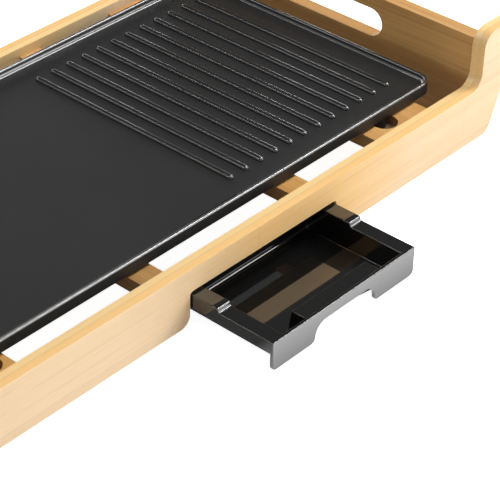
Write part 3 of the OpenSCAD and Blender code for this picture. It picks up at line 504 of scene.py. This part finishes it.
LOOKS = {
    "board": ("front_board", "back_board"),
    "panel": ("left_end_panel", "right_end_panel"),
    "slat": ("right_inner_slat",),
    "slat_outer": ("left_outer_slat", "right_outer_slat"),
    "slat_shaded": ("left_inner_slat",),
    "dowel": ("frame_dowels",),
    "plate": ("cooking_plate",),
    "tray": ("drip_tray",),
    "steel": ("runner_screws", "plate_foot_screws", "element_clamps", "clamp_screws", "reflector_screws",
              "terminal_screws", "contact_pins", "socket_shroud", "control_screws", "temperature_probe",
              "dial_shaft"),
    "runner": ("left_tray_runner", "right_tray_runner"),
    "element": ("heating_element",),
    "reflector": ("heat_reflector",),
    "brass": ("contact_sleeves",),
    "rubber": ("rubber_feet", "cord_gland"),
    "foot": ("plate_feet",),
    "ceramic": ("terminal_block",),
    "control": ("control_base", "control_cover", "control_dial"),
    "switch": ("thermostat_switch",),
    "lens": ("indicator_lens",),
}

for look, names in LOOKS.items():
    for name in names:
        slots = NODES[name].data.materials
        slots.clear()
        slots.append(MATERIALS[look])


# Rounded edges

LONG_EDGE = 0.006
SHARP = math.radians(30)
FLAT = math.radians(0.3)
TOUCHING, NEARLY_TOUCHING = 0.000002, 0.00002
ROUND_SEGMENTS = 3
FACE_WEIGHT = 100

# These two are rounded along their long edges alone, so that their small holes don't hold the radius down.
BOXY = ("control_base", "control_cover")

RADII = {
    0.0016: ("control_cover",),
    0.0011: ("front_board", "back_board", "left_end_panel", "right_end_panel"),
    0.0010: ("control_base",),
    0.0009: ("indicator_lens",),
    0.0007: ("left_outer_slat", "left_inner_slat", "right_inner_slat", "right_outer_slat", "drip_tray"),
    0.0006: ("rubber_feet",),
    0.0005: ("cooking_plate", "control_dial"),
    0.0004: ("cord_gland",),
    0.0003: ("plate_feet", "terminal_block", "thermostat_switch", "contact_pins"),
    0.0002: ("dial_shaft", "socket_shroud", "heat_reflector", "left_tray_runner", "right_tray_runner"),
}


def mesh_group(name):
    """A node group for meshes: its graph, the socket that it gets and the one that it gives."""
    group = bpy.data.node_groups.new(name, "GeometryNodeTree")
    for way in ("INPUT", "OUTPUT"):
        group.interface.new_socket("Geometry", in_out=way, socket_type="NodeSocketGeometry")
    g = Graph(group)
    return g, g.add("NodeGroupInput").outputs[0], g.add("NodeGroupOutput").inputs[0]


def smooth_group():
    """A node group that shades a mesh smooth."""
    g, given, result = mesh_group("shade_smooth")
    g.put(g.add("GeometryNodeSetShadeSmooth", given).outputs[0], result)
    return g.tree


def long_edge_group():
    """A node group that gives a bevel weight to the sharp edges that are long, and none to short ones."""
    g, given, result = mesh_group("mark_long_edges")
    ends = g.add("GeometryNodeInputMeshEdgeVertices").outputs
    length = g.add("ShaderNodeVectorMath", ends["Position 1"], ends["Position 2"],
                   settings={"operation": "DISTANCE"}).outputs["Value"]
    angle = g.add("GeometryNodeInputMeshEdgeAngle").outputs["Unsigned Angle"]
    is_long = g.math("GREATER_THAN", length, LONG_EDGE)
    is_sharp = g.math("GREATER_THAN", angle, SHARP)
    store = g.add("GeometryNodeStoreNamedAttribute", settings={"data_type": "FLOAT", "domain": "EDGE"},
                  Geometry=given, Name="bevel_weight_edge", Value=g.times(is_long, is_sharp))
    g.put(store.outputs[0], result)
    return g.tree


SMOOTH = smooth_group()
MARK = long_edge_group()


def soften(name, radius):
    """Rounds a node's sharp edges with modifiers, which leave its own mesh as it is."""
    modifiers = NODES[name].modifiers
    boxy = name in BOXY
    modifiers.new("shade", "NODES").node_group = SMOOTH
    modifiers.new("weld", "WELD").merge_threshold = TOUCHING
    flat = modifiers.new("flat", "DECIMATE")
    flat.decimate_type = "DISSOLVE"
    flat.angle_limit = FLAT
    if boxy:
        modifiers.new("mark", "NODES").node_group = MARK
    bevel = modifiers.new("round", "BEVEL")
    bevel.width = radius
    bevel.segments = ROUND_SEGMENTS
    bevel.limit_method = "WEIGHT" if boxy else "ANGLE"
    bevel.angle_limit = SHARP
    bevel.use_clamp_overlap = not boxy
    if boxy:
        modifiers.new("clean", "WELD").merge_threshold = NEARLY_TOUCHING
    even = modifiers.new("even", "WEIGHTED_NORMAL")
    even.weight = FACE_WEIGHT
    even.keep_sharp = False


for radius, names in RADII.items():
    for name in names:
        soften(name, radius)


# Forms that the small pieces share

UP = (0, 0, 1)
SAME_PLACE = 0.000001
RING_STEPS, CAP_STEPS, BEAD_STEPS = 64, 32, 8

# How much of its width and of its rise a bead has, from its foot to its top.
BEAD_LEVELS = ((1.0, 0.0), (1.0, 0.5), (0.86, 0.85), (0.6, 1.0))

# A screw head's dome, as shares of its radius and of its rise, and the cross recess in it.
HEAD_R, CAP_RISE = 0.00285, 0.00042
CAP_LEVELS = ((1.0, 0.0), (0.97, 0.45), (0.84, 0.85), (0.68, 1.0))
CROSS_R, CROSS_HALF, CROSS_FLOOR = 0.00165, 0.00034, 0.1


def piece(name, bm, look, body):
    """Makes a piece of a bmesh, in place, with one of the materials, riding on a body."""
    mesh = bpy.data.meshes.new(name)
    bmesh.ops.remove_doubles(bm, verts=bm.verts, dist=SAME_PLACE)
    bmesh.ops.recalc_face_normals(bm, faces=bm.faces)
    bm.to_mesh(mesh)
    bm.free()
    obj = new_object(name, mesh)
    mesh.materials.append(MATERIALS[look])
    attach(obj, body)


def skirt(bm, low, high):
    """Faces between two loops of points that are alike."""
    for i in range(len(low)):
        j = (i + 1) % len(low)
        bm.faces.new((low[i], low[j], high[j], high[i]))


def circle(radius, steps):
    """The points of a circle."""
    angles = (2 * math.pi * i / steps for i in range(steps))
    return [(radius * math.cos(angle), radius * math.sin(angle)) for angle in angles]


def ring(bm, place, axis, profile, steps=RING_STEPS, wave=None):
    """A turned ring. profile is a closed list of radius and height, along the axis from place. wave adds to
    the largest radius, by the angle."""
    turn = Vector(UP).rotation_difference(Vector(axis)).to_matrix()
    largest = max(radius for radius, height in profile)
    rows = []
    for i in range(steps):
        angle = 2 * math.pi * i / steps
        row = []
        for radius, height in profile:
            r = radius + (wave(angle) if wave and radius == largest else 0)
            point = Vector((r * math.cos(angle), r * math.sin(angle), height))
            row.append(bm.verts.new(Vector(place) + turn @ point))
        rows.append(row)
    for i, row in enumerate(rows):
        following = rows[(i + 1) % steps]
        for j in range(len(profile)):
            k = (j + 1) % len(profile)
            bm.faces.new((row[j], following[j], following[k], row[k]))


def bead(bm, start, end, width, rise, out):
    """A rounded raised line on a face, from start to end, standing out along out."""
    start, end, out = Vector(start), Vector(end), Vector(out)
    along = (end - start).normalized()
    side = along.cross(out)
    outline = []
    for centre, first in ((end, -90), (start, 90)):
        for k in range(BEAD_STEPS + 1):
            angle = math.radians(first + 180 * k / BEAD_STEPS)
            outline.append((centre, (along * math.cos(angle) + side * math.sin(angle)) * width / 2))
    rows = []
    for share, lift in BEAD_LEVELS:
        rows.append([bm.verts.new(centre + aside * share + out * rise * lift) for centre, aside in outline])
    for low, high in zip(rows, rows[1:]):
        skirt(bm, low, high)
    bm.faces.new(rows[0][::-1])
    bm.faces.new(rows[-1])


def loose_parts(name):
    """For each loose part of a node, the middle of its box, at its lowest height."""
    bm = bmesh.new()
    bm.from_mesh(NODES[name].data)
    bmesh.ops.remove_doubles(bm, verts=bm.verts, dist=SAME_PLACE)
    found, reached = [], set()
    for first in bm.verts:
        if first in reached:
            continue
        reached.add(first)
        part = [first]
        for vert in part:
            others = [edge.other_vert(vert) for edge in vert.link_edges]
            fresh = [other for other in others if other not in reached]
            reached.update(fresh)
            part += fresh
        xs, ys, zs = zip(*(vert.co for vert in part))
        found.append(Vector(((min(xs) + max(xs)) / 2, (min(ys) + max(ys)) / 2, min(zs))))
    bm.free()
    return found


def cross_outline():
    """The corners of a cross recess, a quarter at a time."""
    points = []
    for k in range(4):
        c, s = round(math.cos(k * math.pi / 2)), round(math.sin(k * math.pi / 2))
        for x, y in ((CROSS_R, -CROSS_HALF), (CROSS_R, CROSS_HALF), (CROSS_HALF, CROSS_HALF)):
            points.append((x * c - y * s, x * s + y * c))
    return points


def cross_cap(bm, place):
    """The domed outer face of a screw head that looks down, with a cross recess in it."""
    def level(outline, height):
        return [bm.verts.new(place + Vector((x, y, -height))) for x, y in outline]

    rows = [level(circle(HEAD_R * share, CAP_STEPS), CAP_RISE * lift) for share, lift in CAP_LEVELS]
    for low, high in zip(rows, rows[1:]):
        skirt(bm, low, high)
    bm.faces.new(rows[0])
    mouth, ground = level(cross_outline(), CAP_RISE), level(cross_outline(), CAP_RISE * CROSS_FLOOR)
    skirt(bm, mouth, ground)
    bm.faces.new(ground)
    rims = []
    for loop in (rows[-1], mouth):
        rims += [bm.edges.get(pair) for pair in zip(loop, loop[1:] + loop[:1])]
    bmesh.ops.triangle_fill(bm, edges=rims, use_beauty=True)


# Screw faces and trim of the heat control

DIAL_SWEEP, LAST_NUMBER, TICKS_PER_NUMBER = 270, 5, 4
TICK_GAP, LONG_TICK, SHORT_TICK = 0.0009, 0.0022, 0.0016
LONG_TICK_WIDTH, SHORT_TICK_WIDTH, TICK_RISE = 0.0005, 0.00035, 0.00006
NUMBER_GAP, NUMBER_SIZE, NUMBER_HALF_DEPTH, NUMBER_LIFT = 0.0046, 0.0046, 0.00004, 0.00003

GRIP_INSET, GRIP_START = 0.002, 0.0024
GRIP_WALL, GRIP_SIDE, GRIP_HEIGHT = 0.0006, 0.0021, 0.0024
FLUTES, STEPS_PER_FLUTE, FLUTE_RISE, FLUTE_POWER = 44, 8, 0.00045, 0.6
POINTER_START, POINTER_GAP = 0.004, 0.0022
POINTER_WIDTH, POINTER_RISE, POINTER_SINK = 0.0012, 0.00016, 0.00002

# Radius and height above the housing.
BEZEL_PROFILE = ((0.00258, -0.0001), (0.0040, -0.0001), (0.0040, 0.0003), (0.0037, 0.0006), (0.0030, 0.0006),
                 (0.00258, 0.0004))

# How far out of the gland, and how far along it.
GLAND_RIB_PROFILE = ((-0.0003, -0.0007), (0.0003, -0.0007), (0.0006, -0.0003), (0.0006, 0.0003),
                     (0.0003, 0.0007), (-0.0003, 0.0007))
GLAND_R, GLAND_RIBS, GLAND_RIB_START, GLAND_RIB_PITCH = 0.0065, 3, 0.0022, 0.0025

FINGER_RIBS, FINGER_RIB_START, FINGER_RIB_PITCH = 7, 0.007, 0.0034
FINGER_RIB_WIDTH, FINGER_RIB_RISE, FINGER_RIB_MARGIN = 0.0016, 0.0007, 0.005


def screw_faces():
    """Faces for the screws that can be seen from below, each riding with its screw."""
    bodies = {"reflector_screws": "plate", "runner_screws": "frame", "control_screws": "control"}
    for node, body in bodies.items():
        bm = bmesh.new()
        for place in loose_parts(node):
            cross_cap(bm, place)
        piece(node + "_faces", bm, "steel", body)


def add_number(bm, number, place):
    """Adds a thin number, centred on a place."""
    text = bpy.data.curves.new("number", "FONT")
    text.body = str(number)
    text.size = NUMBER_SIZE
    text.extrude = NUMBER_HALF_DEPTH
    text.align_x, text.align_y = "CENTER", "CENTER"
    letter = bpy.data.objects.new("number", text)
    mesh = bpy.data.meshes.new_from_object(letter)
    mesh.transform(Matrix.Translation(place))
    bm.from_mesh(mesh)
    bpy.data.meshes.remove(mesh)
    bpy.data.objects.remove(letter)
    bpy.data.curves.remove(text)


def dial_scale():
    """Ticks and the numbers 0 to 5 on the housing, round the dial, clockwise from the back."""
    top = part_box("control_cover")[1][2]
    centre = middle("control_dial")
    foot = Vector((centre.x, centre.y, top))
    reach = (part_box("control_dial")[1][0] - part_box("control_dial")[0][0]) / 2
    step = DIAL_SWEEP / LAST_NUMBER

    def way(numbers):
        angle = math.radians(90 - numbers * step)
        return Vector((math.cos(angle), math.sin(angle), 0))

    bm = bmesh.new()
    for i in range(LAST_NUMBER * TICKS_PER_NUMBER + 1):
        out = way(i / TICKS_PER_NUMBER)
        at_number = i % TICKS_PER_NUMBER == 0
        length, width = (LONG_TICK, LONG_TICK_WIDTH) if at_number else (SHORT_TICK, SHORT_TICK_WIDTH)
        bead(bm, foot + out * (reach + TICK_GAP), foot + out * (reach + length), width, TICK_RISE, UP)
    for number in range(LAST_NUMBER + 1):
        add_number(bm, number, foot + way(number) * (reach + NUMBER_GAP) + Vector(UP) * NUMBER_LIFT)
    piece("dial_scale", bm, "print", "control")


def dial_details():
    """The fluted ring that fingers hold the dial by, and its pointer."""
    low, high = (Vector(v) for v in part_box("control_dial"))
    centre = middle("control_dial")
    grip_r = (high.x - low.x) / 2 - GRIP_INSET
    profile = [(grip_r - GRIP_WALL, 0), (grip_r, 0), (grip_r, GRIP_SIDE), (grip_r - GRIP_WALL, GRIP_HEIGHT)]

    def flute(angle):
        return FLUTE_RISE * max(0.0, math.cos(FLUTES * angle)) ** FLUTE_POWER

    bm = bmesh.new()
    ring(bm, (centre.x, centre.y, low.z + GRIP_START), UP, profile, FLUTES * STEPS_PER_FLUTE, flute)
    piece("dial_grip", bm, "control", "dial")
    bm = bmesh.new()
    z = high.z - POINTER_SINK
    bead(bm, (centre.x, centre.y + POINTER_START, z), (centre.x, centre.y + grip_r - POINTER_GAP, z),
         POINTER_WIDTH, POINTER_RISE, UP)
    piece("dial_pointer", bm, "print", "dial")


def lens_bezel():
    """The raised ring round the lamp's lens."""
    centre = middle("indicator_lens")
    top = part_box("control_cover")[1][2]
    bm = bmesh.new()
    ring(bm, (centre.x, centre.y, top), UP, BEZEL_PROFILE)
    piece("lens_bezel", bm, "control", "control")


def gland_ribs():
    """Rounded rings round the cord gland."""
    high = Vector(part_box("cord_gland")[1])
    centre = middle("cord_gland")
    bm = bmesh.new()
    for k in range(GLAND_RIBS):
        place = (centre.x, high.y - GLAND_RIB_START - GLAND_RIB_PITCH * k, centre.z)
        ring(bm, place, (0, 1, 0), [(GLAND_R + out, height) for out, height in GLAND_RIB_PROFILE])
    piece("gland_ribs", bm, "rubber", "control")


def housing_ribs():
    """Finger ribs on both sides of the heat control, where a hand pulls it off."""
    low, high = (Vector(v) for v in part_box("control_cover"))
    bm = bmesh.new()
    for x, out in ((low.x, (-1, 0, 0)), (high.x, (1, 0, 0))):
        for k in range(FINGER_RIBS):
            y = high.y - FINGER_RIB_START - FINGER_RIB_PITCH * k
            start, end = (x, y, low.z + FINGER_RIB_MARGIN), (x, y, high.z - FINGER_RIB_MARGIN)
            bead(bm, start, end, FINGER_RIB_WIDTH, FINGER_RIB_RISE, out)
    piece("housing_ribs", bm, "control", "control")


screw_faces()
dial_scale()
dial_details()
lens_bezel()
gland_ribs()
housing_ribs()


# Floor

FLOOR_SIZE, FLOOR_Z = 12, -0.0003
FLOOR_COLOR, FLOOR_GLOW = (0.86, 0.86, 0.86), 0.93
BRIGHT_Y, DIM_Y = -0.26, -0.20
MIRRORED_BRIGHT, MIRRORED_DIM = 3.2, 0.2


def make_floor():
    """A pale floor that takes the object's shadow. Mirrors see it bright in front of the object and dim
    from there on, as in a studio that is lit from the front."""
    bpy.ops.mesh.primitive_plane_add(size=FLOOR_SIZE, location=(0, 0, FLOOR_Z))
    floor = bpy.context.object
    floor.name = "floor"
    material = bpy.data.materials.new("floor")
    material.use_nodes = True
    g = Graph(material.node_tree)
    rays = g.add("ShaderNodeLightPath").outputs
    diffuse = g.add("ShaderNodeBsdfDiffuse", FLOOR_COLOR).outputs[0]
    glow = g.add("ShaderNodeEmission", WHITE, g.times(rays["Is Camera Ray"], FLOOR_GLOW)).outputs[0]
    seen = g.add("ShaderNodeAddShader", diffuse, glow).outputs[0]
    strength = g.span(g.axes("Object")["y"], BRIGHT_Y, DIM_Y, MIRRORED_BRIGHT, MIRRORED_DIM)
    image = g.add("ShaderNodeEmission", WHITE, strength).outputs[0]
    mirrored = g.higher(rays["Is Glossy Ray"], rays["Is Transmission Ray"])
    look = g.add("ShaderNodeMixShader", mirrored, seen, image)
    g.add("ShaderNodeOutputMaterial", look.outputs[0])
    floor.data.materials.append(material)


make_floor()
